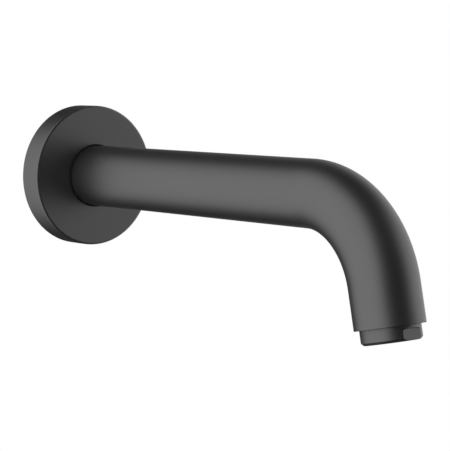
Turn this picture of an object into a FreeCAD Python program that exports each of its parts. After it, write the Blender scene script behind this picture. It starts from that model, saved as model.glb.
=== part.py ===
import FreeCAD, Part
import math
import os
from FreeCAD import Placement, Rotation, Vector

# Wall-mounted bath spout: a bent round tube that stands out of a turned wall flange, with a
# screwed-in mouthpiece that holds a flow straightener, on a threaded wall nipple.
# Sizes are in millimetres and angles in degrees.
# The wall is the plane y = 0, the inlet axis is the Y axis, the spout reaches towards -Y, and
# +Z is up. A "depth" is a distance from the wall along the inlet axis, negative in the wall.
# A "drop" is a distance past the tube's mouth along the outlet axis, negative in the tube.

# Spout tube
tube_outer_d = 32.0
tube_wall = 2.5
outlet_projection = 232.8  # wall to the centre of the mouthpiece's lower face
bend_radius = 47.2  # at the centreline
bend_angle = 78.0
outlet_leg = 18.3  # straight tube after the bend
tube_start = 4.0  # depth of the tube's rear end
tube_edge_chamfer = 0.15

# Wall flange
flange_outer_d = 74.3
flange_depth = 13.7
flange_front_wall = 2.0
flange_side_wall = 3.8
flange_edge_radius = 0.9
flange_bore_clearance = 0.4
flange_bore_chamfer = 0.3
hub_wall = 4.0
hub_rear = 3.0  # depth of the hub's rear end
hub_ring_section = 3.0
hub_ring_height = 2.5  # radial height once squeezed on the tube
hub_ring_past_face = 5.3  # flange's front face to the ring's middle

# Wall gasket
gasket_thickness = 2.4
gasket_width = 2.2
gasket_clearance = 0.1

# Inlet bush, brazed into the tube
bush_wall = 2.45
bush_collar_thickness = 1.5
bush_collar_step = 0.5  # collar radius under the tube's
bush_past_nipple = 2.0
bush_lead_in = 0.8
bush_lead_in_length = 3.0
bush_edge_chamfer = 0.5

# Wall nipple
wall_thread_d = 26.44  # pipe thread G 3/4
wall_thread_length = 15.0
wall_thread_chamfer = 1.2
spigot_clearance = 0.05
nipple_wall = 4.0
nipple_nose_chamfer = 0.8
nipple_key_depth = 11.0
nipple_nose_past_ring = 6.0

# Spigot seals
spigot_ring_section = 2.4
spigot_ring_height = 1.95  # radial height once squeezed in the bush
spigot_ring_spacing = 7.0
spigot_ring_past_screw = 9.0
ring_groove_side_gap = 0.25

# Set screw under the tube
set_screw_d = 6.0
set_screw_past_flange = 10.3
set_screw_thread_gap = 0.05
set_screw_recess = 0.4
set_screw_point_d = 2.0
set_screw_point_gap = 0.15
set_screw_key = 3.0
set_screw_key_depth = 2.8
screw_groove_depth = 1.6
screw_groove_floor = 2.4
screw_hole_countersink = 0.4

# Tube mouth and gasket seat
mouth_thread_depth = 0.5  # radial, into the tube's wall
mouth_thread_length = 10.4
seat_ring_thickness = 2.0
seat_ring_width = 2.9

# Mouthpiece
mouthpiece_clearance = 0.05
collar_step = 0.3  # collar radius under the thread's
collar_height = 6.8
collar_start = -0.2  # drop where the collar begins
collar_chamfer = 1.2
thread_relief_width = 1.0
thread_relief_depth = 0.65
flat_depth = 1.15
flat_start = 1.4  # drop where the spanner flats begin, at their middle
flat_mill_d = 76.0
flat_cove = 0.5
flat_wall = 0.9
lip_width = 1.0
lip_thickness = 1.4
lip_chamfer = 0.4

# Mouthpiece gasket
mouth_gasket_thickness = 1.8
mouth_gasket_inset = 0.2
mouth_gasket_hole_gap = 0.1

# Flow straightener
sleeve_clearance = 0.1
sleeve_wall = 1.1
sleeve_ledge = 0.8
sleeve_ledge_thickness = 1.0
insert_clearance = 0.05
honeycomb_height = 3.2
honeycomb_cell = 1.65  # across flats
honeycomb_web = 0.35
honeycomb_rim = 1.1
screen_height = 1.6
screen_thickness = 0.4
screen_opening = 1.25
screen_wire = 0.55
screen_rim = 0.6
diffuser_thickness = 1.6
diffuser_hole_d = 1.2
diffuser_first_ring_r = 3.0
diffuser_ring_pitch = 2.4
diffuser_hole_pitch = 3.2  # around a ring
diffuser_rim = 1.4
strainer_wall = 0.7
strainer_rise = 3.8
strainer_opening = 1.2
strainer_bar = 0.9
strainer_rim = 1.2

# Radii that follow from the tube
tube_outer_r = tube_outer_d / 2
tube_bore_r = tube_outer_r - tube_wall
bush_bore_r = tube_bore_r - bush_wall
spigot_r = bush_bore_r - spigot_clearance
nipple_bore_r = spigot_r - nipple_wall
wall_thread_r = wall_thread_d / 2
spigot_groove_r = bush_bore_r - spigot_ring_height
screw_groove_r = spigot_r - screw_groove_depth
set_screw_r = set_screw_d / 2
flange_outer_r = flange_outer_d / 2
flange_bore_r = tube_outer_r + flange_bore_clearance
hub_outer_r = flange_bore_r + hub_wall
hub_groove_r = tube_outer_r + hub_ring_height
flange_cavity_r = flange_outer_r - flange_side_wall
gasket_outer_r = flange_cavity_r + gasket_width
mouth_thread_r = tube_bore_r + mouth_thread_depth
skirt_r = mouth_thread_r - mouthpiece_clearance
collar_r = skirt_r - collar_step
flat_distance = collar_r - flat_depth
mouthpiece_bore_r = flat_distance - flat_wall
lip_r = mouthpiece_bore_r - lip_width
sleeve_outer_r = mouthpiece_bore_r - sleeve_clearance
sleeve_bore_r = sleeve_outer_r - sleeve_wall
insert_r = sleeve_bore_r - insert_clearance
seat_ring_r = tube_bore_r - seat_ring_width

# Depths along the inlet axis
hub_ring_depth = flange_depth - hub_ring_past_face
set_screw_depth = flange_depth + set_screw_past_flange
rear_ring_depth = set_screw_depth + spigot_ring_past_screw
front_ring_depth = rear_ring_depth + spigot_ring_spacing
nipple_nose = front_ring_depth + nipple_nose_past_ring
bush_nose = nipple_nose + bush_past_nipple

# Drops along the outlet axis
skirt_top = mouth_gasket_thickness - mouth_thread_length
sleeve_foot = collar_height - lip_thickness
honeycomb_foot = sleeve_foot - sleeve_ledge_thickness
lower_screen_foot = honeycomb_foot - honeycomb_height
upper_screen_foot = lower_screen_foot - screen_height
diffuser_foot = upper_screen_foot - screen_height
strainer_foot = diffuser_foot - diffuser_thickness

# Centreline of the tube
bend = math.radians(bend_angle)
outlet_axis = Vector(0, -math.cos(bend), -math.sin(bend))
bend_depth = (
    outlet_projection
    - bend_radius * math.sin(bend)
    - (outlet_leg + collar_height) * math.cos(bend)
)
wall_point = Vector(0, 0, 0)
inlet_axis = Vector(0, -1, 0)
bend_start = inlet_axis * bend_depth
bend_centre = bend_start + Vector(0, 0, -bend_radius)
bend_end = bend_centre + Vector(0, -math.sin(bend), math.cos(bend)) * bend_radius
mouth_point = bend_end + outlet_axis * outlet_leg

full_turn = 360
past = 1.0  # how far a cutter runs past the face it opens


def arc(start, through, end):
    """Edge along a round arc through three points."""
    return Part.Arc(start, through, end).toShape()


def turned(profile):
    """Solid turned about the local Z axis from (radius, height) corners."""
    corners = [Vector(radius, 0, height) for radius, height in profile]
    outline = Part.makePolygon(corners + corners[:1])
    return Part.Face(outline).revolve(wall_point, Vector(0, 0, 1), full_turn)


def round_bar(radius, start, end):
    """Solid bar on the local Z axis between two heights."""
    return Part.makeCylinder(radius, end - start, Vector(0, 0, start))


def hexagon_bar(across_flats, start, end, centre=(0.0, 0.0), turn=0.0):
    """Six-sided bar along the local Z axis between two heights."""
    corner_r = across_flats / math.sqrt(3)
    corners = []
    for step in range(6):
        angle = math.radians(60 * step + turn)
        x = centre[0] + corner_r * math.cos(angle)
        y = centre[1] + corner_r * math.sin(angle)
        corners.append(Vector(x, y, start))
    outline = Part.makePolygon(corners + corners[:1])
    return Part.Face(outline).extrude(Vector(0, 0, end - start))


def laid_along(shape, origin, lean):
    """Moves a shape so that its local Z axis leaves origin at lean degrees under level."""
    placed = shape.copy()
    placed.Placement = Placement(origin, Rotation(Vector(1, 0, 0), 90 + lean))
    return placed


def on_inlet(shape):
    """Places a turned shape on the inlet axis, with its heights as depths."""
    return laid_along(shape, wall_point, 0)


def at_mouth(shape):
    """Places a turned shape on the outlet axis, with its heights as drops."""
    return laid_along(shape, mouth_point, bend_angle)


def squeezed_ring(inner_r, outer_r, section_d, middle):
    """Rubber ring of round section, pressed flat between an inner and an outer wall."""
    height = outer_r - inner_r
    # the flats are as long as keeps the section's area
    half_flat = math.pi / 8 * (section_d**2 - height**2) / height
    half_width = half_flat + height / 2
    mid_r = (inner_r + outer_r) / 2
    inner_low = Vector(inner_r, 0, middle - half_flat)
    inner_high = Vector(inner_r, 0, middle + half_flat)
    outer_low = Vector(outer_r, 0, middle - half_flat)
    outer_high = Vector(outer_r, 0, middle + half_flat)
    edges = [
        Part.makeLine(outer_low, outer_high),
        arc(outer_high, Vector(mid_r, 0, middle + half_width), inner_high),
        Part.makeLine(inner_high, inner_low),
        arc(inner_low, Vector(mid_r, 0, middle - half_width), outer_low),
    ]
    return Part.Face(Part.Wire(edges)).revolve(wall_point, Vector(0, 0, 1), full_turn)


def ring_groove_half_width(section_d, height):
    """Half the width of the groove that holds a squeezed ring."""
    half_flat = math.pi / 8 * (section_d**2 - height**2) / height
    return half_flat + height / 2 + ring_groove_side_gap


def grid_points(pitch, reach):
    """Centres of a square grid that lie within reach of the axis."""
    count = int(reach / pitch) + 1
    steps = [pitch * step for step in range(-count, count + 1)]
    return [(x, y) for x in steps for y in steps if math.hypot(x, y) <= reach]


def hexagon_points(pitch, reach):
    """Centres of a close-packed pattern that lie within reach of the axis."""
    row_pitch = pitch * math.sqrt(3) / 2
    rows = int(reach / row_pitch) + 1
    columns = int(reach / pitch) + 2
    points = []
    for row in range(-rows, rows + 1):
        for column in range(-columns, columns + 1):
            x = pitch * (column + (row % 2) / 2)
            y = row_pitch * row
            if math.hypot(x, y) <= reach:
                points.append((x, y))
    return points


def square_bars(points, side, start, end):
    """Square bars along the local Z axis, one at each point."""
    return [
        Part.makeBox(side, side, end - start, Vector(x - side / 2, y - side / 2, start))
        for x, y in points
    ]


def screw_hole():
    """Cutter for the threaded hole under the tube, with its countersink."""
    outer = tube_outer_r + past
    hole = Part.makeCylinder(
        set_screw_r,
        outer,
        Vector(0, -set_screw_depth, -outer),
    )
    mouth = Part.makeCone(
        set_screw_r + screw_hole_countersink + past,
        set_screw_r,
        screw_hole_countersink + past,
        Vector(0, -set_screw_depth, -outer),
    )
    return hole.fuse(mouth)


def spout_tube():
    """Bent tube with its mouth thread, set screw hole and broken outer edges."""
    rear = inlet_axis * tube_start
    rim = Part.Face(Part.Wire(Part.makeCircle(tube_outer_r, rear, inlet_axis)))
    bore = Part.Face(Part.Wire(Part.makeCircle(tube_bore_r, rear, inlet_axis)))
    section = rim.cut(bore)
    straight = section.extrude(inlet_axis * (bend_depth - tube_start))
    section.translate(inlet_axis * (bend_depth - tube_start))
    elbow = section.revolve(bend_centre, Vector(1, 0, 0), bend_angle)
    section.rotate(bend_centre, Vector(1, 0, 0), bend_angle)
    leg = section.extrude(outlet_axis * outlet_leg)
    tube = straight.fuse([elbow, leg]).removeSplitter()
    mouth_rim = [
        edge
        for edge in tube.Edges
        if isinstance(edge.Curve, Part.Circle)
        and edge.Curve.Radius > (tube_outer_r + tube_bore_r) / 2
        and edge.CenterOfMass.distanceToPoint(mouth_point) < tube_edge_chamfer
    ]
    tube = tube.makeChamfer(tube_edge_chamfer, mouth_rim)
    thread = at_mouth(round_bar(mouth_thread_r, -mouth_thread_length, past))
    return tube.cut([thread, screw_hole()])


def inlet_bush():
    """Socket brazed into the tube's rear end, which slides over the wall nipple."""
    collar_r = tube_outer_r - bush_collar_step
    rear = tube_start - bush_collar_thickness
    body = turned(
        [
            (bush_bore_r + bush_lead_in, rear),
            (collar_r, rear),
            (collar_r, tube_start),
            (tube_bore_r, tube_start),
            (tube_bore_r, bush_nose - bush_edge_chamfer),
            (tube_bore_r - bush_edge_chamfer, bush_nose),
            (bush_bore_r + bush_edge_chamfer, bush_nose),
            (bush_bore_r, bush_nose - bush_edge_chamfer),
            (bush_bore_r, rear + bush_lead_in_length),
        ]
    )
    return on_inlet(body).cut(screw_hole())


def wall_nipple():
    """Turned nipple: pipe thread in the wall, sealed spigot with a key socket in its nose."""
    screw_floor = screw_groove_floor / 2
    screw_mouth = screw_floor + screw_groove_depth
    groove = ring_groove_half_width(spigot_ring_section, spigot_ring_height)
    profile = [
        (nipple_bore_r, -wall_thread_length),
        (wall_thread_r - wall_thread_chamfer, -wall_thread_length),
        (wall_thread_r, wall_thread_chamfer - wall_thread_length),
        (wall_thread_r, 0),
        (spigot_r, 0),
        (spigot_r, set_screw_depth - screw_mouth),
        (screw_groove_r, set_screw_depth - screw_floor),
        (screw_groove_r, set_screw_depth + screw_floor),
        (spigot_r, set_screw_depth + screw_mouth),
    ]
    for middle in (rear_ring_depth, front_ring_depth):
        profile += [
            (spigot_r, middle - groove),
            (spigot_groove_r, middle - groove),
            (spigot_groove_r, middle + groove),
            (spigot_r, middle + groove),
        ]
    profile += [
        (spigot_r, nipple_nose - nipple_nose_chamfer),
        (spigot_r - nipple_nose_chamfer, nipple_nose),
        (nipple_bore_r, nipple_nose),
    ]
    key = hexagon_bar(2 * nipple_bore_r, nipple_nose - nipple_key_depth, nipple_nose + past)
    return on_inlet(turned(profile).cut(key))


def spigot_ring(middle):
    """Sealing ring between the nipple's spigot and the bush."""
    return on_inlet(
        squeezed_ring(spigot_groove_r, bush_bore_r, spigot_ring_section, middle)
    )


def set_screw():
    """Grub screw that locks the bush to the groove in the nipple."""
    tip_r = set_screw_point_d / 2
    body_r = set_screw_r - set_screw_thread_gap
    tip = -(screw_groove_r + set_screw_point_gap)
    head = set_screw_recess - tube_outer_r
    point_length = body_r - tip_r
    body = turned(
        [
            (0, head),
            (body_r - set_screw_recess, head),
            (body_r, head + set_screw_recess),
            (body_r, tip - point_length),
            (tip_r, tip),
            (0, tip),
        ]
    )
    key = hexagon_bar(set_screw_key, head - past, head + set_screw_key_depth)
    screw = body.cut(key)
    screw.translate(inlet_axis * set_screw_depth)
    return screw


def wall_flange():
    """Turned cover: front wall, rim with a seat for the gasket, and a hub round the tube."""
    cavity_front = flange_depth - flange_front_wall
    groove = ring_groove_half_width(hub_ring_section, hub_ring_height)
    body = turned(
        [
            (gasket_outer_r + gasket_clearance, 0),
            (flange_outer_r, 0),
            (flange_outer_r, flange_depth),
            (flange_bore_r + flange_bore_chamfer, flange_depth),
            (flange_bore_r, flange_depth - flange_bore_chamfer),
            (flange_bore_r, hub_ring_depth + groove),
            (hub_groove_r, hub_ring_depth + groove),
            (hub_groove_r, hub_ring_depth - groove),
            (flange_bore_r, hub_ring_depth - groove),
            (flange_bore_r, hub_rear + flange_bore_chamfer),
            (flange_bore_r + flange_bore_chamfer, hub_rear),
            (hub_outer_r, hub_rear),
            (hub_outer_r, cavity_front),
            (flange_cavity_r, cavity_front),
            (flange_cavity_r, gasket_thickness),
            (gasket_outer_r + gasket_clearance, gasket_thickness),
        ]
    )
    front_rim = [
        edge
        for edge in body.Edges
        if isinstance(edge.Curve, Part.Circle)
        and edge.Curve.Radius > gasket_outer_r + gasket_clearance
        and edge.CenterOfMass.z > flange_depth / 2
    ]
    return on_inlet(body.makeFillet(flange_edge_radius, front_rim))


def flange_o_ring():
    """Ring in the hub's groove that grips the tube and keeps splash water out."""
    return on_inlet(
        squeezed_ring(tube_outer_r, hub_groove_r, hub_ring_section, hub_ring_depth)
    )


def wall_gasket():
    """Foam ring in the flange's rim, pressed level with the rim by the wall."""
    inner_r = flange_cavity_r + gasket_clearance
    return on_inlet(
        turned(
            [
                (inner_r, 0),
                (gasket_outer_r, 0),
                (gasket_outer_r, gasket_thickness),
                (inner_r, gasket_thickness),
            ]
        )
    )


def gasket_seat_ring():
    """Ring brazed in the tube above the mouth thread, which the gasket is pressed on."""
    top = -mouth_thread_length - seat_ring_thickness
    return at_mouth(
        turned(
            [
                (seat_ring_r, top),
                (tube_bore_r, top),
                (tube_bore_r, -mouth_thread_length),
                (seat_ring_r, -mouth_thread_length),
            ]
        )
    )


def flat_cutter(side):
    """Face mill for one spanner flat, whose round corner leaves a cove where the flat runs out."""
    mill_r = flat_mill_d / 2
    back = collar_r + past
    mill = turned([(0, flat_distance), (mill_r, flat_distance), (mill_r, back), (0, back)])
    corner = [
        edge
        for edge in mill.Edges
        if isinstance(edge.Curve, Part.Circle) and edge.CenterOfMass.z < back - past / 2
    ]
    mill = mill.makeFillet(flat_cove, corner)
    mill.rotate(wall_point, Vector(1, 0, 0), -90 * side)
    mill.translate(Vector(0, 0, flat_start + mill_r))
    return mill


def mouthpiece():
    """Screwed-in outlet housing with a visible collar and two spanner flats."""
    relief_r = skirt_r - thread_relief_depth
    relief_top = collar_start - thread_relief_width
    body = turned(
        [
            (mouthpiece_bore_r, skirt_top),
            (relief_r, skirt_top),
            (skirt_r, skirt_top + thread_relief_depth),
            (skirt_r, relief_top),
            (relief_r, relief_top),
            (relief_r, collar_start),
            (collar_r, collar_start),
            (collar_r, collar_height - collar_chamfer),
            (collar_r - collar_chamfer, collar_height),
            (lip_r + lip_chamfer, collar_height),
            (lip_r, collar_height - lip_chamfer),
            (lip_r, sleeve_foot),
            (mouthpiece_bore_r, sleeve_foot),
        ]
    )
    return at_mouth(body.cut([flat_cutter(1), flat_cutter(-1)]))


def mouthpiece_gasket():
    """Flat rubber washer between the seat ring and the mouthpiece."""
    inner_r = seat_ring_r + mouth_gasket_hole_gap
    outer_r = mouth_thread_r - mouth_gasket_inset
    return at_mouth(
        turned(
            [
                (inner_r, -mouth_thread_length),
                (outer_r, -mouth_thread_length),
                (outer_r, skirt_top),
                (inner_r, skirt_top),
            ]
        )
    )


def straightener_sleeve():
    """Plastic sleeve that stands on the mouthpiece's lip and holds the inserts."""
    ledge_r = sleeve_bore_r - sleeve_ledge
    return at_mouth(
        turned(
            [
                (sleeve_bore_r, skirt_top),
                (sleeve_outer_r, skirt_top),
                (sleeve_outer_r, sleeve_foot),
                (ledge_r, sleeve_foot),
                (ledge_r, honeycomb_foot),
                (sleeve_bore_r, honeycomb_foot),
            ]
        )
    )


def honeycomb_outlet():
    """Disc of six-sided cells on the sleeve's ledge, which straightens the stream."""
    top = honeycomb_foot - honeycomb_height
    disc = round_bar(insert_r, top, honeycomb_foot)
    reach = insert_r - honeycomb_rim - honeycomb_cell / 2
    cells = [
        hexagon_bar(honeycomb_cell, top - past, honeycomb_foot + past, point, 30)
        for point in hexagon_points(honeycomb_cell + honeycomb_web, reach)
    ]
    return at_mouth(disc.cut(cells))


def mesh_screen(foot):
    """Screen in a shallow cup, whose rim carries the piece above."""
    top = foot - screen_height
    plate_top = foot - screen_thickness
    cup = round_bar(insert_r, top, foot).cut(
        round_bar(insert_r - screen_rim, top - past, plate_top)
    )
    reach = insert_r - screen_rim - screen_opening
    points = grid_points(screen_opening + screen_wire, reach)
    return at_mouth(cup.cut(square_bars(points, screen_opening, plate_top - past, foot + past)))


def diffuser_plate():
    """Plate with rings of holes that spreads the flow over the screens."""
    plate = round_bar(insert_r, strainer_foot, diffuser_foot)
    hole_r = diffuser_hole_d / 2
    reach = insert_r - diffuser_rim - hole_r
    ring_r = diffuser_first_ring_r
    holes = []
    while ring_r <= reach:
        count = int(2 * math.pi * ring_r / diffuser_hole_pitch)
        for step in range(count):
            hole = round_bar(hole_r, strainer_foot - past, diffuser_foot + past)
            angle = 2 * math.pi * step / count
            hole.translate(Vector(ring_r * math.cos(angle), ring_r * math.sin(angle), 0))
            holes.append(hole)
        ring_r += diffuser_ring_pitch
    return at_mouth(plate.cut(holes))


def inlet_strainer():
    """Domed sieve that stands on the diffuser and reaches up through the gasket."""
    inner_r = insert_r - strainer_wall
    eave = skirt_top
    crown = eave - strainer_rise
    sphere_r = (insert_r**2 + strainer_rise**2) / (2 * strainer_rise)
    inner_sphere_r = sphere_r - strainer_wall
    centre = crown + sphere_r
    inner_eave = centre - math.sqrt(inner_sphere_r**2 - inner_r**2)

    def on_sphere(radius, distance):
        return Vector(distance, 0, centre - math.sqrt(radius**2 - distance**2))

    edges = [
        Part.makeLine(Vector(inner_r, 0, strainer_foot), Vector(insert_r, 0, strainer_foot)),
        Part.makeLine(Vector(insert_r, 0, strainer_foot), Vector(insert_r, 0, eave)),
        arc(
            Vector(insert_r, 0, eave),
            on_sphere(sphere_r, insert_r / 2),
            Vector(0, 0, crown),
        ),
        Part.makeLine(Vector(0, 0, crown), Vector(0, 0, crown + strainer_wall)),
        arc(
            Vector(0, 0, crown + strainer_wall),
            on_sphere(inner_sphere_r, inner_r / 2),
            Vector(inner_r, 0, inner_eave),
        ),
        Part.makeLine(Vector(inner_r, 0, inner_eave), Vector(inner_r, 0, strainer_foot)),
    ]
    dome = Part.Face(Part.Wire(edges)).revolve(wall_point, Vector(0, 0, 1), full_turn)
    reach = inner_r - strainer_rim
    points = grid_points(strainer_opening + strainer_bar, reach)
    bars = square_bars(points, strainer_opening, crown - past, strainer_foot)
    return at_mouth(dome.cut(bars))


def build():
    """Every piece by the name of its node."""
    return {
        "spout_tube": spout_tube(),
        "inlet_bush": inlet_bush(),
        "gasket_seat_ring": gasket_seat_ring(),
        "wall_nipple": wall_nipple(),
        "spigot_o_ring_rear": spigot_ring(rear_ring_depth),
        "spigot_o_ring_front": spigot_ring(front_ring_depth),
        "set_screw": set_screw(),
        "wall_flange": wall_flange(),
        "flange_o_ring": flange_o_ring(),
        "wall_gasket": wall_gasket(),
        "mouthpiece": mouthpiece(),
        "mouthpiece_gasket": mouthpiece_gasket(),
        "straightener_sleeve": straightener_sleeve(),
        "honeycomb_outlet": honeycomb_outlet(),
        "mesh_screen_lower": mesh_screen(lower_screen_foot),
        "mesh_screen_upper": mesh_screen(upper_screen_foot),
        "diffuser_plate": diffuser_plate(),
        "inlet_strainer": inlet_strainer(),
    }


os.makedirs("parts", exist_ok=True)
for node, shape in build().items():
    shape.exportStep(f"parts/{node}.step")
    print(node, "valid" if shape.isValid() else "not valid", round(shape.Volume, 1))
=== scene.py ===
import math

import bmesh
import bpy
from mathutils import Matrix, Vector


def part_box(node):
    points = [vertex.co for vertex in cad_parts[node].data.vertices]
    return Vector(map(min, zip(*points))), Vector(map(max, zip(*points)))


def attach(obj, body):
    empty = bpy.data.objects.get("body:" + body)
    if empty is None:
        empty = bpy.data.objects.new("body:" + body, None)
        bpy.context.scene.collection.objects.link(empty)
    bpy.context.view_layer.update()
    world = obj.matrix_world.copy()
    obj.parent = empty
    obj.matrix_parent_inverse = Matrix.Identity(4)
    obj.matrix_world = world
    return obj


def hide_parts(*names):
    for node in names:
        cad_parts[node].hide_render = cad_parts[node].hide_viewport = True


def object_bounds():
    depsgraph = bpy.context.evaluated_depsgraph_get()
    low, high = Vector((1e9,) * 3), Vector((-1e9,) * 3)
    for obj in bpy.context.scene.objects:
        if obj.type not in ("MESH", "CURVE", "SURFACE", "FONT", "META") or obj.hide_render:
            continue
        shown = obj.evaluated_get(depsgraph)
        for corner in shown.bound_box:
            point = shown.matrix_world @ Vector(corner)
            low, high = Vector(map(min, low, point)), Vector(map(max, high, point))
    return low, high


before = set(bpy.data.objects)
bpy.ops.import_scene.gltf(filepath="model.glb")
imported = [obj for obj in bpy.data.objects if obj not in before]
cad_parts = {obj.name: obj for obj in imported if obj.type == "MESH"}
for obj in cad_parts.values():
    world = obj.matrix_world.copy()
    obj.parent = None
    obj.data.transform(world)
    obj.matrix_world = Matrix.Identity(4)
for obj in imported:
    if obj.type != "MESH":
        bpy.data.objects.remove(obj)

cadLow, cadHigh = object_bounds()
toMetres = 0.001  # pieces are drawn in millimetres
metres = Matrix.Scale(toMetres, 4)
asDrawn = Matrix.Identity(4)
wholeTurn = 2 * math.pi
tiny = 0.0005
overcut = 1.0  # how far a cutter reaches past what it cuts
arcStepsPerMm = 12
print("frame loaded,", len(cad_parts), "nodes")


# The tube's route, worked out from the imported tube's box

tube = {
    "outerR": 16.0,
    "wall": 2.5,
    "bend": math.radians(78),
    "bendRadius": 47.2,
    "mouthEdge": 0.15,
    "threadDepth": 0.5,
    "threadLength": 10.4,
    "threadLead": 0.3,
    "segments": 192,
    "bendSteps": 96,
    "holeLead": 14.0,
    "holeRun": 8.0,
}


def findRoute():
    low, high = [corner * 1000 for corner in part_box("spout_tube")]
    sine, cosine = math.sin(tube["bend"]), math.cos(tube["bend"])
    radius, edge = tube["bendRadius"], tube["mouthEdge"]
    mouthZ = low.z + (tube["outerR"] - edge) * cosine
    mouthY = low.y + tube["outerR"] * sine - edge * cosine
    leg = (-mouthZ - radius * (1 - cosine)) / sine
    bendY = mouthY + leg * cosine + radius * sine
    return {
        "rear": high.y,
        "bendY": bendY,
        "bendCentre": Vector((0, bendY, -radius)),
        "leg": leg,
        "mouth": Vector((0, mouthY, mouthZ)),
        "outletAxis": Vector((0, -cosine, -sine)),
    }


route = findRoute()
onInlet = Matrix.Rotation(math.radians(90), 4, "X")  # heights become depths from the wall
atMouth = (  # heights become drops past the tube's mouth
    Matrix.Translation(route["mouth"])
    @ Matrix.Rotation(math.radians(90) + tube["bend"], 4, "X")
)
print("route found, bend from", round(route["bendY"], 2), "mm, leg of", round(route["leg"], 2), "mm")


# Mesh helpers

def turn(profile, segments):
    # corners are (radius, height) or (radius, height, rounding)
    bm = bmesh.new()
    corners = [bm.verts.new((corner[0], 0, corner[1])) for corner in profile]
    bm.faces.new(corners)
    for rounding in sorted({corner[2] for corner in profile if len(corner) > 2}):
        soft = [v for v, corner in zip(corners, profile) if rounding in corner[2:]]
        bmesh.ops.bevel(
            bm, geom=soft, offset=rounding, offset_type="OFFSET", affect="VERTICES",
            segments=max(3, round(rounding * arcStepsPerMm)), profile=0.5, material=-1,
            clamp_overlap=True,
        )
    bmesh.ops.delete(bm, geom=bm.faces[:], context="FACES_ONLY")
    bmesh.ops.spin(
        bm, geom=bm.verts[:] + bm.edges[:], cent=(0, 0, 0), axis=(0, 0, 1), dvec=(0, 0, 0),
        angle=wholeTurn, steps=segments, use_merge=True, use_duplicate=False,
    )
    bmesh.ops.remove_doubles(bm, verts=bm.verts[:], dist=tiny)
    bmesh.ops.dissolve_degenerate(bm, edges=bm.edges[:], dist=tiny)
    bmesh.ops.recalc_face_normals(bm, faces=bm.faces[:])
    return bm


def sixSided(acrossFlats, start, end):
    bm = bmesh.new()
    cornerR = acrossFlats / math.sqrt(3)
    bmesh.ops.create_cone(
        bm, cap_ends=True, segments=6, radius1=cornerR, radius2=cornerR, depth=end - start,
        matrix=Matrix.Translation((0, 0, (start + end) / 2)),
    )
    return bm


def cut(bm, *cutters):
    meshes = []
    for source in (bm, *cutters):
        mesh = bpy.data.meshes.new("cutWork")
        source.to_mesh(mesh)
        source.free()
        meshes.append(mesh)
    body, *tools = [bpy.data.objects.new("cutWork", mesh) for mesh in meshes]
    bpy.context.scene.collection.objects.link(body)
    for tool in tools:
        bpy.context.scene.collection.objects.link(tool)
        taken = body.modifiers.new("cut", "BOOLEAN")
        taken.operation = "DIFFERENCE"
        taken.solver = "EXACT"
        taken.object = tool
    result = bmesh.new()
    result.from_mesh(body.evaluated_get(bpy.context.evaluated_depsgraph_get()).to_mesh())
    for work in (body, *tools):
        bpy.data.objects.remove(work)
    for mesh in meshes:
        bpy.data.meshes.remove(mesh)
    return result


def makePiece(bm, name, finish, nodes, place=None, creaseFrom=35):
    if place is not None:
        bmesh.ops.transform(bm, matrix=metres @ place, verts=bm.verts[:])
    for face in bm.faces:
        face.smooth = True
    for edge in bm.edges:
        edge.smooth = edge.calc_face_angle(0) < math.radians(creaseFrom)
    mesh = bpy.data.meshes.new(name)
    bm.to_mesh(mesh)
    bm.free()
    mesh.materials.append(finishes[finish])
    piece = bpy.data.objects.new(name, mesh)
    bpy.context.scene.collection.objects.link(piece)
    even = piece.modifiers.new("evenNormals", "WEIGHTED_NORMAL")
    even.keep_sharp = True
    even.weight = 80
    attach(piece, "root")
    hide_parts(*nodes)
    print(name, len(mesh.polygons), "faces")
    return piece


# Finishes

def newGroup(name, inputs, outputs):
    group = bpy.data.node_groups.new(name, "ShaderNodeTree")
    for label, kind, value in inputs:
        socket = group.interface.new_socket(name=label, in_out="INPUT", socket_type=kind)
        if value is not None:
            socket.default_value = value
    for label, kind in outputs:
        group.interface.new_socket(name=label, in_out="OUTPUT", socket_type=kind)
    return group


def addNode(tree, kind, at, sockets=None, **settings):
    node = tree.nodes.new(kind)
    node.location = at
    for key, value in settings.items():
        setattr(node, key, value)
    for key, value in (sockets or {}).items():
        node.inputs[key].default_value = value
    return node


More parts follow.
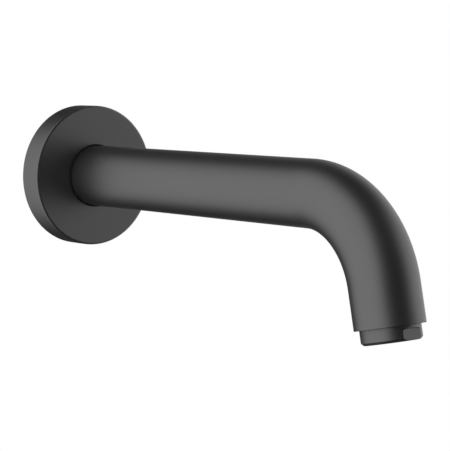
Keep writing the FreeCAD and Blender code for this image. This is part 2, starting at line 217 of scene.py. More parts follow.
def makeSurfaceGroup():
    group = newGroup(
        "fineSurface",
        [
            ("Vector", "NodeSocketVector", None),
            ("Tone", "NodeSocketColor", (0.5, 0.5, 0.5, 1)),
            ("Tone Spread", "NodeSocketFloat", 0.1),
            ("Roughness", "NodeSocketFloat", 0.4),
            ("Roughness Spread", "NodeSocketFloat", 0.1),
            ("Grain Scale", "NodeSocketFloat", 3000.0),
            ("Cloud Scale", "NodeSocketFloat", 60.0),
            ("Cell Share", "NodeSocketFloat", 0.0),
        ],
        [
            ("Color", "NodeSocketColor"),
            ("Roughness", "NodeSocketFloat"),
            ("Height", "NodeSocketFloat"),
        ],
    )
    link = group.links.new
    entry = addNode(group, "NodeGroupInput", (-1100, 0))
    leave = addNode(group, "NodeGroupOutput", (700, 0))
    grain = addNode(group, "ShaderNodeTexNoise", (-800, 300), {"Detail": 2})
    cells = addNode(group, "ShaderNodeTexVoronoi", (-800, 0))
    cloud = addNode(group, "ShaderNodeTexNoise", (-800, -300), {"Detail": 3})
    for texture, scale in ((grain, "Grain Scale"), (cells, "Grain Scale"), (cloud, "Cloud Scale")):
        link(entry.outputs["Vector"], texture.inputs["Vector"])
        link(entry.outputs[scale], texture.inputs["Scale"])
    height = addNode(group, "ShaderNodeMix", (-400, 200), data_type="FLOAT")
    link(entry.outputs["Cell Share"], height.inputs["Factor"])
    link(grain.outputs["Fac"], height.inputs["A"])
    link(cells.outputs["Distance"], height.inputs["B"])
    patch = addNode(group, "ShaderNodeMath", (-600, -300), operation="SUBTRACT")
    patch.inputs[1].default_value = 0.5
    link(cloud.outputs["Fac"], patch.inputs[0])
    rough = addNode(group, "ShaderNodeMath", (-200, 0), operation="MULTIPLY_ADD")
    link(patch.outputs[0], rough.inputs[0])
    link(entry.outputs["Roughness Spread"], rough.inputs[1])
    link(entry.outputs["Roughness"], rough.inputs[2])
    shade = addNode(group, "ShaderNodeMath", (-200, -300), operation="MULTIPLY_ADD")
    link(patch.outputs[0], shade.inputs[0])
    link(entry.outputs["Tone Spread"], shade.inputs[1])
    shade.inputs[2].default_value = 1.0
    tone = addNode(group, "ShaderNodeVectorMath", (200, -200), operation="SCALE")
    link(entry.outputs["Tone"], tone.inputs[0])
    link(shade.outputs[0], tone.inputs["Scale"])
    link(tone.outputs[0], leave.inputs["Color"])
    link(rough.outputs[0], leave.inputs["Roughness"])
    link(height.outputs[0], leave.inputs["Height"])
    return group


def makeLatheGroup():
    # rings left by the cutting tool, as coordinates that change along and out from the inlet axis
    group = newGroup(
        "latheRings",
        [("Vector", "NodeSocketVector", None), ("Around", "NodeSocketFloat", 0.04)],
        [("Vector", "NodeSocketVector")],
    )
    link = group.links.new
    entry = addNode(group, "NodeGroupInput", (-900, 0))
    leave = addNode(group, "NodeGroupOutput", (500, 0))
    across = addNode(group, "ShaderNodeVectorMath", (-650, 100), operation="MULTIPLY")
    across.inputs[1].default_value = (1, 0, 1)
    link(entry.outputs["Vector"], across.inputs[0])
    out = addNode(group, "ShaderNodeVectorMath", (-450, 200), operation="LENGTH")
    link(across.outputs[0], out.inputs[0])
    axes = addNode(group, "ShaderNodeSeparateXYZ", (-650, -100))
    link(entry.outputs["Vector"], axes.inputs[0])
    side = addNode(group, "ShaderNodeMath", (-450, -200), operation="MULTIPLY")
    link(axes.outputs["X"], side.inputs[0])
    link(entry.outputs["Around"], side.inputs[1])
    joined = addNode(group, "ShaderNodeCombineXYZ", (200, 0))
    link(out.outputs["Value"], joined.inputs["X"])
    link(axes.outputs["Y"], joined.inputs["Y"])
    link(side.outputs[0], joined.inputs["Z"])
    link(joined.outputs[0], leave.inputs["Vector"])
    return group


surfaceGroup = makeSurfaceGroup()
latheGroup = makeLatheGroup()

looks = {
    "satinDark": {
        "tone": (0.16, 0.16, 0.1605), "toneSpread": 0.04, "metallic": 0.956,
        "roughness": 0.418, "roughnessSpread": 0.03, "grainScale": 4500, "cloudScale": 35,
        "bump": 0.12, "bumpDepth": 0.01,
    },
    "turnedBrass": {
        "tone": (0.62, 0.46, 0.22), "toneSpread": 0.15, "metallic": 1.0, "turned": True,
        "roughness": 0.28, "roughnessSpread": 0.15, "grainScale": 2600, "cloudScale": 180,
        "bump": 0.5, "bumpDepth": 0.02,
    },
    "blackRubber": {
        "tone": (0.022, 0.022, 0.023), "toneSpread": 0.3, "metallic": 0.0,
        "roughness": 0.55, "roughnessSpread": 0.12, "grainScale": 3000, "cloudScale": 90,
        "bump": 0.3, "bumpDepth": 0.02,
    },
    "greyFoam": {
        "tone": (0.085, 0.085, 0.088), "toneSpread": 0.35, "metallic": 0.0, "cells": 0.8,
        "roughness": 0.85, "roughnessSpread": 0.1, "grainScale": 1900, "cloudScale": 150,
        "bump": 0.8, "bumpDepth": 0.15,
    },
    "greyPlastic": {
        "tone": (0.12, 0.122, 0.126), "toneSpread": 0.08, "metallic": 0.0,
        "roughness": 0.42, "roughnessSpread": 0.08, "grainScale": 2500, "cloudScale": 90,
        "bump": 0.2, "bumpDepth": 0.02,
    },
    "whitePlastic": {
        "tone": (0.72, 0.72, 0.7), "toneSpread": 0.04, "metallic": 0.0,
        "roughness": 0.4, "roughnessSpread": 0.08, "grainScale": 2500, "cloudScale": 90,
        "bump": 0.2, "bumpDepth": 0.02,
    },
    "screenSteel": {
        "tone": (0.55, 0.55, 0.56), "toneSpread": 0.1, "metallic": 1.0,
        "roughness": 0.3, "roughnessSpread": 0.1, "grainScale": 4000, "cloudScale": 120,
        "bump": 0.2, "bumpDepth": 0.01,
    },
    "screwSteel": {
        "tone": (0.2, 0.2, 0.205), "toneSpread": 0.25, "metallic": 1.0,
        "roughness": 0.38, "roughnessSpread": 0.15, "grainScale": 3500, "cloudScale": 300,
        "bump": 0.25, "bumpDepth": 0.02,
    },
}


def makeFinish(name, look):
    material = bpy.data.materials.new(name)
    material.use_nodes = True
    tree = material.node_tree
    link = tree.links.new
    shader = tree.nodes["Principled BSDF"]
    shader.inputs["Metallic"].default_value = look["metallic"]
    coords = addNode(tree, "ShaderNodeTexCoord", (-1100, 0))
    place = coords.outputs["Object"]
    if look.get("turned"):
        lathe = addNode(tree, "ShaderNodeGroup", (-900, 0), node_tree=latheGroup)
        link(place, lathe.inputs["Vector"])
        place = lathe.outputs["Vector"]
    surface = addNode(
        tree, "ShaderNodeGroup", (-600, 0),
        {
            "Tone": (*look["tone"], 1), "Tone Spread": look["toneSpread"],
            "Roughness": look["roughness"], "Roughness Spread": look["roughnessSpread"],
            "Grain Scale": look["grainScale"], "Cloud Scale": look["cloudScale"],
            "Cell Share": look.get("cells", 0.0),
        },
        node_tree=surfaceGroup,
    )
    bump = addNode(
        tree, "ShaderNodeBump", (-300, -200),
        {"Strength": look["bump"], "Distance": look["bumpDepth"] * toMetres},
    )
    link(place, surface.inputs["Vector"])
    link(surface.outputs["Color"], shader.inputs["Base Color"])
    link(surface.outputs["Roughness"], shader.inputs["Roughness"])
    link(surface.outputs["Height"], bump.inputs["Height"])
    link(bump.outputs["Normal"], shader.inputs["Normal"])
    return material


finishes = {name: makeFinish(name, look) for name, look in looks.items()}
print("finishes made:", len(finishes))


# Spout tube

def grownRing(bm, ring, matrix):
    grown = bmesh.ops.extrude_edge_only(bm, edges=ring)["geom"]
    points = [item for item in grown if isinstance(item, bmesh.types.BMVert)]
    bmesh.ops.transform(bm, matrix=matrix, verts=points)
    return [item for item in grown if isinstance(item, bmesh.types.BMEdge)]


def spunRing(bm, ring, angle):
    points = list({point for edge in ring for point in edge.verts})
    spun = bmesh.ops.spin(
        bm, geom=points + ring, cent=route["bendCentre"], axis=(1, 0, 0), dvec=(0, 0, 0),
        angle=angle, steps=tube["bendSteps"], use_merge=False, use_duplicate=False,
    )["geom_last"]
    return [item for item in spun if isinstance(item, bmesh.types.BMEdge)]


def widened(factor, centre):
    return Matrix.Translation(centre) @ Matrix.Scale(factor, 4) @ Matrix.Translation(-centre)


def along(axis, distance):
    return Matrix.Translation(axis * distance)


def drawTube():
    bm = bmesh.new()
    outer, edge, lead = tube["outerR"], tube["mouthEdge"], tube["threadLead"]
    inner = outer - tube["wall"]
    threadR = inner + tube["threadDepth"]
    inlet, outlet = Vector((0, -1, 0)), route["outletAxis"]
    mouth, leg = route["mouth"], route["leg"]
    rear = Vector((0, route["rear"], 0))
    straight = route["rear"] - route["bendY"]
    circle = bmesh.ops.create_circle(
        bm, cap_ends=False, segments=tube["segments"], radius=outer,
        matrix=Matrix.Translation(rear) @ onInlet,
    )["verts"]
    first = list({edge for point in circle for edge in point.link_edges})
    ring = first
    runs = [setScrew["depth"] - tube["holeLead"], tube["holeRun"], tube["holeRun"]]  # round the hole
    for run in runs + [straight - sum(runs)]:
        ring = grownRing(bm, ring, along(inlet, run))
    ring = spunRing(bm, ring, tube["bend"])
    ring = grownRing(bm, ring, along(outlet, leg - edge))
    ring = grownRing(
        bm, ring, along(outlet, edge) @ widened((outer - edge) / outer, mouth - outlet * edge)
    )
    ring = grownRing(bm, ring, widened((threadR + lead) / (outer - edge), mouth))
    ring = grownRing(bm, ring, along(outlet, -lead) @ widened(threadR / (threadR + lead), mouth))
    ring = grownRing(bm, ring, along(outlet, lead - tube["threadLength"]))
    ring = grownRing(bm, ring, widened(inner / threadR, mouth - outlet * tube["threadLength"]))
    ring = grownRing(bm, ring, along(outlet, tube["threadLength"] - leg))
    ring = spunRing(bm, ring, -tube["bend"])
    ring = grownRing(bm, ring, along(inlet, -straight))
    bmesh.ops.bridge_loops(bm, edges=first + ring)
    bmesh.ops.remove_doubles(bm, verts=bm.verts[:], dist=tiny)
    bmesh.ops.recalc_face_normals(bm, faces=bm.faces[:])
    return bm


# Set screw, and the hole that it sits in

setScrew = {
    "depth": 24.0,
    "diameter": 6.0,
    "gap": 0.05,
    "recess": 0.4,
    "tipR": 1.0,
    "tipHeight": -9.55,
    "key": 3.0,
    "keyDepth": 2.8,
    "edge": 0.4,
    "softEdge": 0.08,
    "segments": 64,
}


def screwHole():
    radius, sink = setScrew["diameter"] / 2, setScrew["recess"]
    below = -tube["outerR"] - overcut
    hole = turn(
        [
            (0, below), (radius + sink + overcut, below), (radius, sink - tube["outerR"]), (radius, 0),
            (0, 0),
        ],
        setScrew["segments"],
    )
    bmesh.ops.translate(hole, vec=(0, -setScrew["depth"], 0), verts=hole.verts[:])
    return hole


def drawSetScrew():
    bodyR = setScrew["diameter"] / 2 - setScrew["gap"]
    head = setScrew["recess"] - tube["outerR"]
    edge, soft = setScrew["edge"], setScrew["softEdge"]
    tip, tipR = setScrew["tipHeight"], setScrew["tipR"]
    body = turn(
        [
            (0, head), (bodyR - edge, head, soft), (bodyR, head + edge, soft),
            (bodyR, tip - (bodyR - tipR), soft), (tipR, tip, soft), (0, tip),
        ],
        setScrew["segments"],
    )
    screw = cut(body, sixSided(setScrew["key"], head - overcut, head + setScrew["keyDepth"]))
    bmesh.ops.translate(screw, vec=(0, -setScrew["depth"], 0), verts=screw.verts[:])
    return screw


makePiece(
    cut(drawTube(), screwHole()), "spoutTube", "satinDark", ["spout_tube"],
    place=asDrawn, creaseFrom=30,
)
makePiece(
    drawSetScrew(), "grubScrew", "screwSteel", ["set_screw"],
    place=asDrawn, creaseFrom=30,
)


# Wall flange and its seals

flange = {
    "outerR": 37.15,
    "depth": 13.7,
    "frontWall": 2.0,
    "sideWall": 3.8,
    "boreR": 16.4,
    "hubR": 20.4,
    "hubRear": 3.0,
    "hubLeadIn": 0.3,
    "cavityArc": 0.5,
    "grooveR": 18.5,
    "grooveMiddle": 8.4,
    "grooveHalfWidth": 1.93,
    "gasketSeatR": 35.65,
    "gasketThickness": 2.4,
    "gasketInnerR": 33.45,
    "gasketOuterR": 35.55,
    "gasketRearArc": 0.35,
    "gasketFrontArc": 0.2,
    "rollWidth": 0.95,
    "rollDepth": 0.42,
    "rollArc": 0.08,
    "lipWidth": 0.12,
    "lipDepth": 0.8,
    "lipArc": 0.1,
    "boreEdge": 0.3,
    "boreArc": 0.06,
    "softEdge": 0.15,
    "segments": 256,
}


def drawFlange():
    outer, depth, bore = flange["outerR"], flange["depth"], flange["boreR"]
    shoulder, rollR = depth - flange["rollDepth"], outer - flange["rollWidth"]
    lip, lipR = shoulder - flange["lipDepth"], outer - flange["lipWidth"]
    cavity, front = outer - flange["sideWall"], depth - flange["frontWall"]
    hubR, hubRear, inside = flange["hubR"], flange["hubRear"], flange["cavityArc"]
    grooveR, middle, half = flange["grooveR"], flange["grooveMiddle"], flange["grooveHalfWidth"]
    seatR, seat, soft = flange["gasketSeatR"], flange["gasketThickness"], flange["softEdge"]
    return turn(
        [
            (seatR, 0, soft), (outer, 0, soft), (outer, lip, flange["lipArc"]),
            (lipR, shoulder, flange["lipArc"]), (rollR, depth, flange["rollArc"]),
            (bore + flange["boreEdge"], depth, flange["boreArc"]),
            (bore, depth - flange["boreEdge"], flange["boreArc"]),
            (bore, middle + half), (grooveR, middle + half), (grooveR, middle - half),
            (bore, middle - half), (bore, hubRear, flange["hubLeadIn"]), (hubR, hubRear, soft),
            (hubR, front, inside), (cavity, front, inside), (cavity, seat, soft), (seatR, seat),
        ],
        flange["segments"],
    )


def drawWallGasket():
    inner, outer, high = flange["gasketInnerR"], flange["gasketOuterR"], flange["gasketThickness"]
    rear, front = flange["gasketRearArc"], flange["gasketFrontArc"]
    return turn(
        [(inner, 0, rear), (outer, 0, rear), (outer, high, front), (inner, high, front)],
        flange["segments"],
    )


makePiece(
    drawFlange(), "wallFlange", "satinDark", ["wall_flange"],
    place=onInlet, creaseFrom=60,
)
makePiece(
    drawWallGasket(), "foamGasket", "greyFoam", ["wall_gasket"],
    place=onInlet, creaseFrom=60,
)


# Inlet bush, brazed into the tube

bush = {
    "boreR": 11.05,
    "outerR": 13.5,
    "collarR": 15.5,
    "rear": 2.5,
    "collarEnd": 4.0,
    "nose": 48.0,
    "leadIn": 0.8,
    "leadInLength": 3.0,
    "noseEdge": 0.5,
    "softEdge": 0.15,
    "segments": 128,
}


def drawBush():
    bore, outer, rear, nose = bush["boreR"], bush["outerR"], bush["rear"], bush["nose"]
    edge, soft = bush["noseEdge"], bush["softEdge"]
    body = turn(
        [
            (bore + bush["leadIn"], rear, soft), (bush["collarR"], rear, soft),
            (bush["collarR"], bush["collarEnd"]), (outer, bush["collarEnd"]), (outer, nose - edge),
            (outer - edge, nose), (bore + edge, nose), (bore, nose - edge),
            (bore, rear + bush["leadInLength"], soft),
        ],
        bush["segments"],
    )
    bmesh.ops.transform(body, matrix=onInlet, verts=body.verts[:])
    return cut(body, screwHole())


# Wall nipple with its pipe thread

nipple = {
    "threadR": 13.22,
    "threadLength": 15.0,
    "threadEdge": 1.2,
    "pitch": 1.814,
    "threadDepth": 1.16,
    "rootHalfWidth": 0.12,
    "flank": math.radians(27.5),
    "cutterOver": 0.3,
    "stepsPerTurn": 72,
    "spigotR": 11.0,
    "boreR": 7.0,
    "nose": 46.0,
    "noseEdge": 0.8,
    "rearArc": 0.3,
    "softEdge": 0.1,
    "screwGroove": 1.6,
    "screwFloor": 1.2,
    "ringDepths": (33.0, 40.0),
    "ringGrooveR": 9.1,
    "ringGrooveHalfWidth": 1.61,
    "key": 14.0,
    "keyDepth": 11.0,
    "segments": 128,
}


def threadGroove():
    bm = bmesh.new()
    root = nipple["threadR"] - nipple["threadDepth"]
    outside = nipple["threadR"] + nipple["cutterOver"]
    rootHalf, pitch = nipple["rootHalfWidth"], nipple["pitch"]
    mouthHalf = rootHalf + (outside - root) * math.tan(nipple["flank"])
    start = -nipple["threadLength"] - pitch
    shape = [(root, -rootHalf), (outside, -mouthHalf), (outside, mouthHalf), (root, rootHalf)]
    section = bm.faces.new([bm.verts.new((radius, 0, start + height)) for radius, height in shape])
    turns = (nipple["threadLength"] + 2 * pitch) / pitch
    steps = round(turns * nipple["stepsPerTurn"])
    bmesh.ops.spin(
        bm, geom=[section, *section.edges, *section.verts], cent=(0, 0, 0), axis=(0, 0, 1),
        dvec=(0, 0, turns * pitch / steps), angle=wholeTurn * turns, steps=steps,
        use_merge=False, use_duplicate=False,
    )
    bmesh.ops.holes_fill(bm, edges=[edge for edge in bm.edges if edge.is_boundary], sides=4)
    bmesh.ops.recalc_face_normals(bm, faces=bm.faces[:])
    return bm


def drawNipple():
    bore, spigot, threadR, nose = nipple["boreR"], nipple["spigotR"], nipple["threadR"], nipple["nose"]
    length, edge, noseEdge = nipple["threadLength"], nipple["threadEdge"], nipple["noseEdge"]
    screw, depth, floor = setScrew["depth"], nipple["screwGroove"], nipple["screwFloor"]
    soft = nipple["softEdge"]
    profile = [
        (bore, -length, nipple["rearArc"]), (threadR - edge, -length, soft),
        (threadR, edge - length), (threadR, 0, soft), (spigot, 0), (spigot, screw - floor - depth),
        (spigot - depth, screw - floor), (spigot - depth, screw + floor),
        (spigot, screw + floor + depth),
    ]
    for middle in nipple["ringDepths"]:
        half, grooveR = nipple["ringGrooveHalfWidth"], nipple["ringGrooveR"]
        profile += [
            (spigot, middle - half), (grooveR, middle - half), (grooveR, middle + half),
            (spigot, middle + half),
        ]
    profile += [(spigot, nose - noseEdge), (spigot - noseEdge, nose), (bore, nose)]
    key = sixSided(nipple["key"], nose - nipple["keyDepth"], nose + overcut)
    return cut(turn(profile, nipple["segments"]), threadGroove(), key)


makePiece(
    drawBush(), "inletBush", "turnedBrass", ["inlet_bush"], place=asDrawn
)
makePiece(
    drawNipple(), "wallNipple", "turnedBrass", ["wall_nipple"], place=onInlet
)


# Mouthpiece and the straightener's sleeve

mouthpiece = {
    "skirtR": 13.95,
    "skirtTop": -8.6,
    "relief": 0.65,
    "reliefTop": -1.2,
    "collarR": 13.65,
    "collarStart": -0.2,
    "collarEnd": 6.8,
    "collarEdge": 1.2,
    "boreR": 11.6,
    "lipR": 10.6,
    "lipTop": 5.4,
    "lipArc": 0.4,
    "flatDistance": 12.5,
    "flatStart": 1.4,
    "flatMillR": 38.0,
    "flatCove": 0.5,
    "softEdge": 0.12,
    "segments": 192,
}


def flatMill(side):
    radius, front = mouthpiece["flatMillR"], mouthpiece["flatDistance"]
    back = mouthpiece["collarR"] + overcut
    mill = turn(
        [(0, front), (radius, front, mouthpiece["flatCove"]), (radius, back), (0, back)],
        mouthpiece["segments"],
    )
    place = Matrix.Translation((0, 0, mouthpiece["flatStart"] + radius))
    turned = Matrix.Rotation(math.radians(-90 * side), 4, "X")
    bmesh.ops.transform(mill, matrix=place @ turned, verts=mill.verts[:])
    return mill


def drawMouthpiece():
    skirt, top, relief = mouthpiece["skirtR"], mouthpiece["skirtTop"], mouthpiece["relief"]
    collar, start, end = mouthpiece["collarR"], mouthpiece["collarStart"], mouthpiece["collarEnd"]
    bore, lip, lipTop = mouthpiece["boreR"], mouthpiece["lipR"], mouthpiece["lipTop"]
    reliefTop, edge, soft = mouthpiece["reliefTop"], mouthpiece["collarEdge"], mouthpiece["softEdge"]
    body = turn(
        [
            (bore, top), (skirt - relief, top), (skirt, top + relief), (skirt, reliefTop),
            (skirt - relief, reliefTop), (skirt - relief, start), (collar, start, soft),
            (collar, end - edge, soft), (collar - edge, end, soft),
            (lip, end, mouthpiece["lipArc"]), (lip, lipTop), (bore, lipTop),
        ],
        mouthpiece["segments"],
    )
    return cut(body, flatMill(1), flatMill(-1))


sleeve = {
    "boreR": 10.4,
    "outerR": 11.5,
    "ledgeR": 9.6,
    "top": -8.6,
    "foot": 5.4,
    "ledgeTop": 4.4,
    "softEdge": 0.2,
    "segments": 128,
}


def drawSleeve():
    bore, outer, ledge, soft = sleeve["boreR"], sleeve["outerR"], sleeve["ledgeR"], sleeve["softEdge"]
    top, foot, ledgeTop = sleeve["top"], sleeve["foot"], sleeve["ledgeTop"]
    return turn(
        [
            (bore, top, soft), (outer, top, soft), (outer, foot), (ledge, foot, soft),
            (ledge, ledgeTop, soft), (bore, ledgeTop),
        ],
        sleeve["segments"],
    )


makePiece(
    drawMouthpiece(), "outletMouthpiece", "satinDark", ["mouthpiece"],
    place=atMouth, creaseFrom=30,
)
makePiece(
    drawSleeve(), "straightenerSleeve", "greyPlastic", ["straightener_sleeve"],
    place=atMouth,
)


# Pieces that keep their CAD shape. The honeycomb is copied, so that its rim is shaded round.

def softCopy(node, name, finish, creaseFrom=20):
    bm = bmesh.new()
    bm.from_mesh(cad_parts[node].data)
    bmesh.ops.remove_doubles(bm, verts=bm.verts[:], dist=tiny * toMetres)
    bmesh.ops.dissolve_limit(
        bm, angle_limit=math.radians(1), verts=bm.verts[:], edges=bm.edges[:],
        use_dissolve_boundaries=False, delimit=set(),
    )
    return makePiece(bm, name, finish, [node], creaseFrom=creaseFrom)


softCopy("honeycomb_outlet", "honeycombDisc", "greyPlastic")

insideFinishes = {
    "gasket_seat_ring": "turnedBrass",
    "spigot_o_ring_rear": "blackRubber",
    "spigot_o_ring_front": "blackRubber",
    "flange_o_ring": "blackRubber",
    "mouthpiece_gasket": "blackRubber",
    "diffuser_plate": "whitePlastic",
    "inlet_strainer": "whitePlastic",
    "mesh_screen_lower": "screenSteel",
    "mesh_screen_upper": "screenSteel",
}
for node, finish in insideFinishes.items():
    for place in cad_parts[node].material_slots:
        place.material = finishes[finish]


# Stage: a white studio, with a dark tent round the spout that is open at its left and right

stage = {
    "floorDrop": 0.34,
    "floorSize": 12.0,
    "floorFadeFrom": 0.35,
    "floorFadeTo": 0.75,
    "floorTone": 0.85,
    "middle": (0, -0.12, 0),
    "lampPower": 6.0,
    "lampSize": 1.2,
    "lampPlace": (-0.3, -0.3, 1.2),
}

tent = {
    "radius": 3.0,
    "cloth": 0.0155,
    "leftWindow": {"Centre": -107.7, "Half Width": 56.5, "Top": 68.2, "Bottom": -56.5, "Softness": 36.3},
    "rightWindow": {"Centre": 86.6, "Half Width": 48.3, "Top": 38.5, "Bottom": -33.6, "Softness": 45.1},
}


def whiteFor(tree, at):
    path = addNode(tree, "ShaderNodeLightPath", at)
    either = addNode(tree, "ShaderNodeMath", (at[0] + 200, at[1]), operation="MAXIMUM")
    both = addNode(tree, "ShaderNodeMath", (at[0] + 400, at[1]), operation="MAXIMUM")
    tree.links.new(path.outputs["Is Camera Ray"], either.inputs[0])
    tree.links.new(path.outputs["Is Glossy Ray"], either.inputs[1])
    tree.links.new(either.outputs[0], both.inputs[0])
    tree.links.new(path.outputs["Is Transmission Ray"], both.inputs[1])
    return both.outputs[0]


def makeWorld():
    world = bpy.data.worlds.new("studio")
    bpy.context.scene.world = world
    world.use_nodes = True
    background = world.node_tree.nodes["Background"]
    background.inputs["Color"].default_value = (1, 1, 1, 1)
    background.inputs["Strength"].default_value = 1.0


def makeFloor():
    material = bpy.data.materials.new("paleFloor")
    material.use_nodes = True
    tree = material.node_tree
    tree.nodes.remove(tree.nodes["Principled BSDF"])
    output = tree.nodes["Material Output"]
    diffuse = addNode(tree, "ShaderNodeBsdfDiffuse", (-200, 100))
    tone = stage["floorTone"]
    diffuse.inputs["Color"].default_value = (tone, tone, tone, 1)
    glow = addNode(tree, "ShaderNodeEmission", (-200, -100))
    mix = addNode(tree, "ShaderNodeMixShader", (100, 0))
    coords = addNode(tree, "ShaderNodeTexCoord", (-1000, 300))
    length = addNode(tree, "ShaderNodeVectorMath", (-800, 300), operation="LENGTH")
    far = addNode(tree, "ShaderNodeMapRange", (-600, 300))
    far.interpolation_type = "SMOOTHSTEP"
    far.inputs["From Min"].default_value = stage["floorFadeFrom"]
    far.inputs["From Max"].default_value = stage["floorFadeTo"]
    both = addNode(tree, "ShaderNodeMath", (-300, 300), operation="MULTIPLY")
    below = addNode(tree, "ShaderNodeMixShader", (300, 0))
    sides = addNode(tree, "ShaderNodeNewGeometry", (100, 300))
    clear = addNode(tree, "ShaderNodeBsdfTransparent", (100, -200))
    link = tree.links.new
    link(coords.outputs["Object"], length.inputs[0])
    link(length.outputs["Value"], far.inputs["Value"])
    link(far.outputs["Result"], both.inputs[0])
    link(whiteFor(tree, (-1000, 0)), both.inputs[1])
    link(both.outputs[0], mix.inputs[0])
    link(diffuse.outputs[0], mix.inputs[1])
    link(glow.outputs[0], mix.inputs[2])
    link(sides.outputs["Backfacing"], below.inputs[0])
    link(mix.outputs[0], below.inputs[1])
    link(clear.outputs[0], below.inputs[2])
    link(below.outputs[0], output.inputs["Surface"])
    bm = bmesh.new()
    bmesh.ops.create_grid(bm, x_segments=1, y_segments=1, size=stage["floorSize"] / 2)
    mesh = bpy.data.meshes.new("floor")
    bm.to_mesh(mesh)
    bm.free()
    mesh.materials.append(material)
    floor = bpy.data.objects.new("floor", mesh)
    floor.location = (stage["middle"][0], stage["middle"][1], cadLow.z - stage["floorDrop"])
    floor.visible_glossy = False  # the spout mirrors the dark tent below it, not the floor
    bpy.context.scene.collection.objects.link(floor)


def makeWindowGroup():
    labels = ["Centre", "Half Width", "Top", "Bottom", "Softness"]
    group = newGroup(
        "tentWindow",
        [("Azimuth", "NodeSocketFloat", 0.0), ("Elevation", "NodeSocketFloat", 0.0)]
        + [(label, "NodeSocketFloat", 0.0) for label in labels],
        [("Opening", "NodeSocketFloat")],
    )
    entry = addNode(group, "NodeGroupInput", (-1000, 0))
    leave = addNode(group, "NodeGroupOutput", (700, 0))
    link = group.links.new

    def ease(value, edge, at, rising):
        gap = addNode(group, "ShaderNodeMath", at, operation="SUBTRACT")
        link(value, gap.inputs[0])
        link(edge, gap.inputs[1])
        share = addNode(group, "ShaderNodeMath", (at[0] + 180, at[1]), operation="DIVIDE")
        link(gap.outputs[0], share.inputs[0])
        link(entry.outputs["Softness"], share.inputs[1])
        soft = addNode(group, "ShaderNodeMapRange", (at[0] + 360, at[1]))
        soft.interpolation_type = "SMOOTHSTEP"
        soft.inputs["From Min"].default_value = -0.5
        soft.inputs["From Max"].default_value = 0.5
        soft.inputs["To Min"].default_value = 0.0 if rising else 1.0
        soft.inputs["To Max"].default_value = 1.0 if rising else 0.0
        link(share.outputs[0], soft.inputs["Value"])
        return soft.outputs["Result"]

    turned = addNode(group, "ShaderNodeMath", (-800, 300), operation="SUBTRACT")
    link(entry.outputs["Azimuth"], turned.inputs[0])
    link(entry.outputs["Centre"], turned.inputs[1])
    wrapped = addNode(group, "ShaderNodeMath", (-620, 300), operation="WRAP")
    wrapped.inputs[1].default_value = 180
    wrapped.inputs[2].default_value = -180
    link(turned.outputs[0], wrapped.inputs[0])
    away = addNode(group, "ShaderNodeMath", (-440, 300), operation="ABSOLUTE")
    link(wrapped.outputs[0], away.inputs[0])
    across = ease(away.outputs[0], entry.outputs["Half Width"], (-260, 300), rising=False)
    top = ease(entry.outputs["Elevation"], entry.outputs["Top"], (-260, 0), rising=False)
    bottom = ease(entry.outputs["Elevation"], entry.outputs["Bottom"], (-260, -300), rising=True)
    upright = addNode(group, "ShaderNodeMath", (300, -100), operation="MULTIPLY")
    link(top, upright.inputs[0])
    link(bottom, upright.inputs[1])
    opening = addNode(group, "ShaderNodeMath", (500, 0), operation="MULTIPLY")
    link(across, opening.inputs[0])
    link(upright.outputs[0], opening.inputs[1])
    link(opening.outputs[0], leave.inputs["Opening"])
    return group


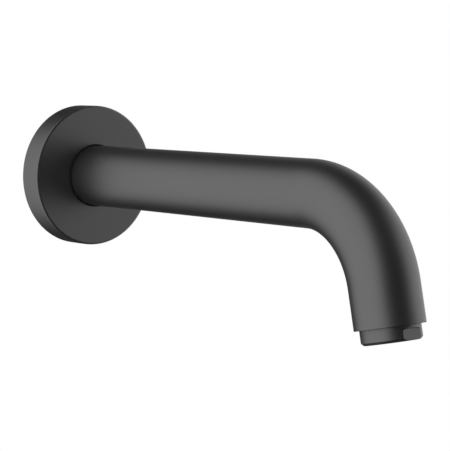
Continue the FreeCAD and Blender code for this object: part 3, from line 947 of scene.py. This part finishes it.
def makeTent():
    windowGroup = makeWindowGroup()
    material = bpy.data.materials.new("tentCloth")
    material.use_nodes = True
    tree = material.node_tree
    tree.nodes.remove(tree.nodes["Principled BSDF"])
    output = tree.nodes["Material Output"]
    link = tree.links.new
    coords = addNode(tree, "ShaderNodeTexCoord", (-1400, 0))
    direction = addNode(tree, "ShaderNodeVectorMath", (-1200, 0), operation="NORMALIZE")
    link(coords.outputs["Object"], direction.inputs[0])
    axes = addNode(tree, "ShaderNodeSeparateXYZ", (-1000, 0))
    link(direction.outputs[0], axes.inputs[0])
    ahead = addNode(tree, "ShaderNodeMath", (-800, 100), operation="MULTIPLY")
    ahead.inputs[1].default_value = -1
    link(axes.outputs["Y"], ahead.inputs[0])
    around = addNode(tree, "ShaderNodeMath", (-620, 100), operation="ARCTAN2")
    link(axes.outputs["X"], around.inputs[0])
    link(ahead.outputs[0], around.inputs[1])
    azimuth = addNode(tree, "ShaderNodeMath", (-440, 100), operation="DEGREES")
    link(around.outputs[0], azimuth.inputs[0])
    rise = addNode(tree, "ShaderNodeMath", (-620, -100), operation="ARCSINE")
    link(axes.outputs["Z"], rise.inputs[0])
    elevation = addNode(tree, "ShaderNodeMath", (-440, -100), operation="DEGREES")
    link(rise.outputs[0], elevation.inputs[0])
    openings = []
    for window, y in (("leftWindow", 300), ("rightWindow", 0)):
        node = addNode(tree, "ShaderNodeGroup", (-200, y), node_tree=windowGroup)
        link(azimuth.outputs[0], node.inputs["Azimuth"])
        link(elevation.outputs[0], node.inputs["Elevation"])
        for label, value in tent[window].items():
            node.inputs[label].default_value = value
        openings.append(node.outputs["Opening"])
    wider = addNode(tree, "ShaderNodeMath", (100, 200), operation="MAXIMUM")
    link(openings[0], wider.inputs[0])
    link(openings[1], wider.inputs[1])
    cloth = addNode(tree, "ShaderNodeEmission", (300, -200))
    cloth.inputs["Strength"].default_value = tent["cloth"]
    clear = addNode(tree, "ShaderNodeBsdfTransparent", (300, -350))
    mix = addNode(tree, "ShaderNodeMixShader", (500, 0))
    link(wider.outputs[0], mix.inputs[0])
    link(cloth.outputs[0], mix.inputs[1])
    link(clear.outputs[0], mix.inputs[2])
    link(mix.outputs[0], output.inputs["Surface"])
    bm = bmesh.new()
    bmesh.ops.create_uvsphere(bm, u_segments=48, v_segments=24, radius=tent["radius"])
    mesh = bpy.data.meshes.new("tent")
    bm.to_mesh(mesh)
    bm.free()
    mesh.materials.append(material)
    shell = bpy.data.objects.new("tent", mesh)
    shell.location = stage["middle"]
    for ray in ("camera", "diffuse", "transmission", "volume_scatter", "shadow"):
        setattr(shell, "visible_" + ray, False)
    bpy.context.scene.collection.objects.link(shell)


def makeLamp():
    data = bpy.data.lights.new("softLamp", "AREA")
    data.energy = stage["lampPower"]
    data.size = stage["lampSize"]
    lamp = bpy.data.objects.new("softLamp", data)
    lamp.location = stage["lampPlace"]
    aim = Vector(stage["middle"]) - Vector(stage["lampPlace"])
    lamp.rotation_euler = aim.to_track_quat("-Z", "Y").to_euler()
    lamp.visible_glossy = False
    bpy.context.scene.collection.objects.link(lamp)


camera = {
    "place": (-0.50327, -0.71184, 0.05587),
    "turnDeg": -40.397,
    "downDeg": 5.5125,
    "lens": 128.285,
    "sensorWidth": 36,
    "nearest": 0.01,
    "farthest": 50,
}


def makeCamera():
    data = bpy.data.cameras.new("camera")
    data.sensor_width = camera["sensorWidth"]
    data.lens = camera["lens"]
    data.clip_start = camera["nearest"]
    data.clip_end = camera["farthest"]
    eye = bpy.data.objects.new("camera", data)
    eye.location = camera["place"]
    eye.rotation_euler = (
        math.radians(90 - camera["downDeg"]), 0, math.radians(camera["turnDeg"])
    )
    bpy.context.scene.collection.objects.link(eye)
    bpy.context.scene.camera = eye


makeWorld()
makeFloor()
makeTent()
makeLamp()
makeCamera()
bpy.context.scene.view_settings.view_transform = "Standard"
print("stage set")
